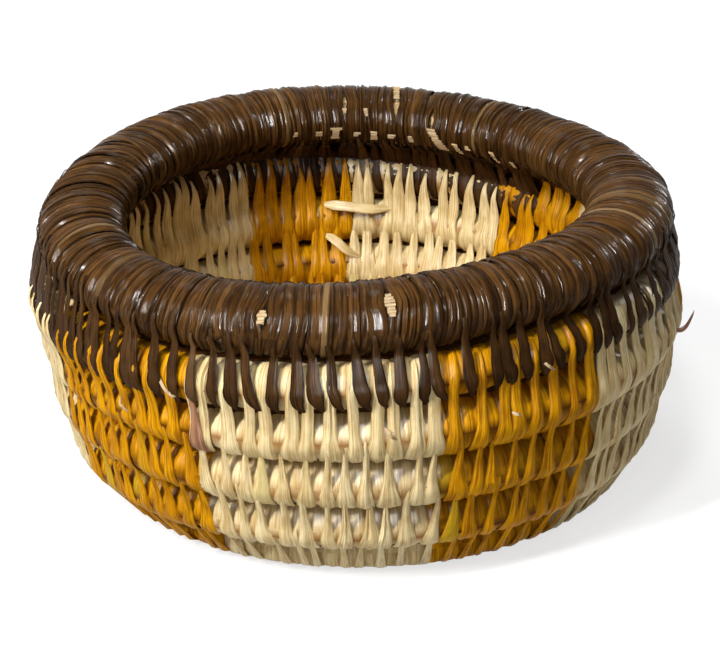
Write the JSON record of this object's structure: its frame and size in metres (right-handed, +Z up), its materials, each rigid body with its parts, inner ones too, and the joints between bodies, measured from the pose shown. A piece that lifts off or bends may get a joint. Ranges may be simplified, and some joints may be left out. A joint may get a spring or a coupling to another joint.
{
  "type": "coiled basket",
  "caption": "Round open basket: a grass coil bound row by row with pale and golden leaf strips, under a thick dark bound rim; stands on its flat coiled floor",
  "frame": {"origin": "middle of the footprint on the surface that the basket stands on", "axes": "+Z is up along the basket's axis; -Y is the side that the picture shows; +X is to the right of it"},
  "size_m": [0.1871, 0.1927, 0.091],
  "materials": {
    "pale_leaf": "undyed split palm leaf, satin, with fine lengthwise fibres",
    "golden_leaf": "leaf dyed golden yellow, satin, orange-brown in the folds",
    "dark_leaf": "leaf dyed dark brown, tightly bound, half gloss with lighter brown streaks",
    "grass_bundle": "dry grass stems, matt straw colour"
  },
  "bodies": {
    "root": {"foundation_coil": "grass_bundle", "floor_wrap": "pale_leaf", "heel_wrap_1": "pale_leaf", "heel_wrap_2": "pale_leaf", "heel_wrap_3": "pale_leaf", "heel_wrap_4": "pale_leaf", "row_1_pale_wrap_1": "pale_leaf", "row_1_golden_wrap_1": "golden_leaf", "row_1_pale_wrap_2": "pale_leaf", "row_1_golden_wrap_2": "golden_leaf", "row_1_pale_wrap_3": "pale_leaf", "row_1_golden_wrap_3": "golden_leaf", "row_1_pale_wrap_4": "pale_leaf", "row_1_golden_wrap_4": "golden_leaf", "row_1_pale_wrap_5": "pale_leaf", "row_1_golden_wrap_5": "golden_leaf", "row_1_pale_wrap_6": "pale_leaf", "row_1_golden_wrap_6": "golden_leaf", "row_2_pale_wrap_1": "pale_leaf", "row_2_golden_wrap_1": "golden_leaf", "row_2_pale_wrap_2": "pale_leaf", "row_2_golden_wrap_2": "golden_leaf", "row_2_pale_wrap_3": "pale_leaf", "row_2_golden_wrap_3": "golden_leaf", "row_2_pale_wrap_4": "pale_leaf", "row_2_golden_wrap_4": "golden_leaf", "row_2_pale_wrap_5": "pale_leaf", "row_2_golden_wrap_5": "golden_leaf", "row_2_pale_wrap_6": "pale_leaf", "row_2_golden_wrap_6": "golden_leaf", "row_3_pale_wrap_1": "pale_leaf", "row_3_golden_wrap_1": "golden_leaf", "row_3_pale_wrap_2": "pale_leaf", "row_3_golden_wrap_2": "golden_leaf", "row_3_pale_wrap_3": "pale_leaf", "row_3_golden_wrap_3": "golden_leaf", "row_3_pale_wrap_4": "pale_leaf", "row_3_golden_wrap_4": "golden_leaf", "row_3_pale_wrap_5": "pale_leaf", "row_3_golden_wrap_5": "golden_leaf", "row_3_pale_wrap_6": "pale_leaf", "row_3_golden_wrap_6": "golden_leaf", "row_4_pale_wrap_1": "pale_leaf", "row_4_golden_wrap_1": "golden_leaf", "row_4_pale_wrap_2": "pale_leaf", "row_4_golden_wrap_2": "golden_leaf", "row_4_pale_wrap_3": "pale_leaf", "row_4_golden_wrap_3": "golden_leaf", "row_4_pale_wrap_4": "pale_leaf", "row_4_golden_wrap_4": "golden_leaf", "row_4_pale_wrap_5": "pale_leaf", "row_4_golden_wrap_5": "golden_leaf", "rim_core": "grass_bundle", "rim_wrap_1": "dark_leaf", "rim_wrap_2": "dark_leaf", "rim_wrap_3": "dark_leaf", "rim_wrap_4": "dark_leaf", "rim_wrap_5": "dark_leaf", "rim_wrap_6": "dark_leaf"}
  },
  "joints": []
}
